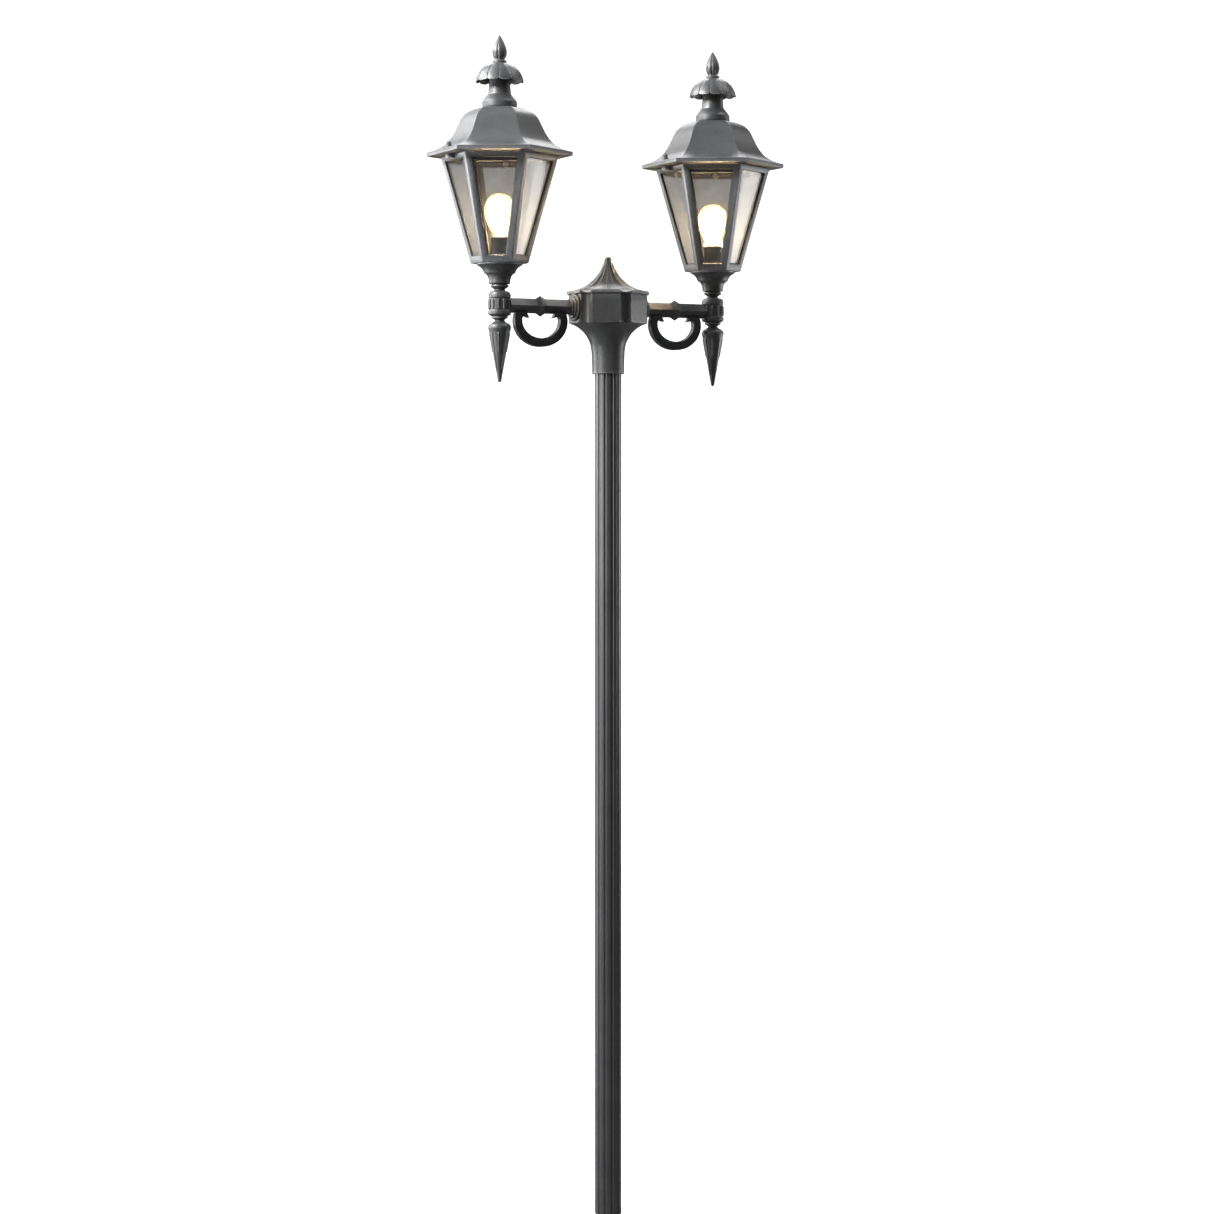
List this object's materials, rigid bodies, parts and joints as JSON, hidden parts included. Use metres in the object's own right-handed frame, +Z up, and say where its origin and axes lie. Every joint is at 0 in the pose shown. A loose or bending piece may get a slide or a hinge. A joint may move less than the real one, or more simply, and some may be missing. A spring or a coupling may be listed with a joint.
{
  "type": "street lamp post",
  "caption": "Street lamp post with a fluted pole, hexagonal hub, scrolled bracket arms and tapered hexagonal lanterns under hinged bell roofs.",
  "frame": {"origin": "centre of the pole's open foot", "axes": "+Z up along the pole; the bracket arms lie along X; +Y is square to the arms"},
  "size_m": [0.7282, 0.2898, 2.339],
  "materials": {
    "coated_casting": "matte fine-texture powder coat, anthracite",
    "pane_glass": "clear",
    "bulb_glass": "clear",
    "filament": "glowing",
    "bulb_cap": "rolled thread",
    "lampholder": "black moulded",
    "terminal_plastic": "off-white moulded",
    "lead_sheath": "flexible sheath",
    "plated_steel": "zinc plated"
  },
  "bodies": {
    "post": {"arm_locknuts": "plated_steel", "collar_set_screws": "plated_steel", "cup_set_screws": "plated_steel", "frame_screws": "plated_steel", "hub_body": "coated_casting", "hub_cap": "coated_casting", "hub_cap_screws": "plated_steel", "left_arm": "coated_casting", "left_arm_rosette": "coated_casting", "left_arm_scroll": "coated_casting", "left_drop_finial": "coated_casting", "left_glass_panes": "pane_glass", "left_hinge_pin": "plated_steel", "left_holder_barrel": "coated_casting", "left_lamp_lead": "lead_sheath", "left_lampholder": "lampholder", "left_lantern_cup": "coated_casting", "left_lantern_frame": "coated_casting", "left_pane_clips": "plated_steel", "left_spacer_disc": "coated_casting", "left_stem_tube": "plated_steel", "pole": "coated_casting", "right_arm": "coated_casting", "right_arm_rosette": "coated_casting", "right_arm_scroll": "coated_casting", "right_drop_finial": "coated_casting", "right_glass_panes": "pane_glass", "right_hinge_pin": "plated_steel", "right_holder_barrel": "coated_casting", "right_lamp_lead": "lead_sheath", "right_lampholder": "lampholder", "right_lantern_cup": "coated_casting", "right_lantern_frame": "coated_casting", "right_pane_clips": "plated_steel", "right_spacer_disc": "coated_casting", "right_stem_tube": "plated_steel", "stem_nuts": "plated_steel", "terminal_block": "terminal_plastic", "terminal_screws": "plated_steel"},
    "left_lid": {"left_roof": "coated_casting", "left_chimney": "coated_casting", "left_crown": "coated_casting", "left_top_finial": "coated_casting", "left_roof_nut": "plated_steel"},
    "left_latch": {"left_latch_screw": "coated_casting"},
    "left_bulb": {"left_bulb_cap": "bulb_cap", "left_bulb_glass": "bulb_glass", "left_bulb_filaments": "filament"},
    "right_lid": {"right_roof": "coated_casting", "right_chimney": "coated_casting", "right_crown": "coated_casting", "right_top_finial": "coated_casting", "right_roof_nut": "plated_steel"},
    "right_latch": {"right_latch_screw": "coated_casting"},
    "right_bulb": {"right_bulb_cap": "bulb_cap", "right_bulb_glass": "bulb_glass", "right_bulb_filaments": "filament"}
  },
  "joints": [
    {"name": "left_roof_hinge", "type": "hinge", "parent": "post", "child": "left_lid", "pos_m": [-0.1266, 0, 2.0965], "axis": [0, 1, 0], "range_deg": [0, 80]},
    {"name": "left_latch_turn", "type": "hinge", "parent": "left_lid", "child": "left_latch", "pos_m": [-0.3476, 0, 2.12], "axis": [0, 0, 1], "continuous": true},
    {"name": "left_bulb_draw", "type": "slide", "parent": "post", "child": "left_bulb", "axis": [0, 0, 1], "range_m": [0, 0.027]},
    {"name": "right_roof_hinge", "type": "hinge", "parent": "post", "child": "right_lid", "pos_m": [0.3506, 0, 2.0965], "axis": [0, 1, 0], "range_deg": [0, 80]},
    {"name": "right_latch_turn", "type": "hinge", "parent": "right_lid", "child": "right_latch", "pos_m": [0.1296, 0, 2.12], "axis": [0, 0, 1], "continuous": true},
    {"name": "right_bulb_draw", "type": "slide", "parent": "post", "child": "right_bulb", "axis": [0, 0, 1], "range_m": [0, 0.027]}
  ]
}
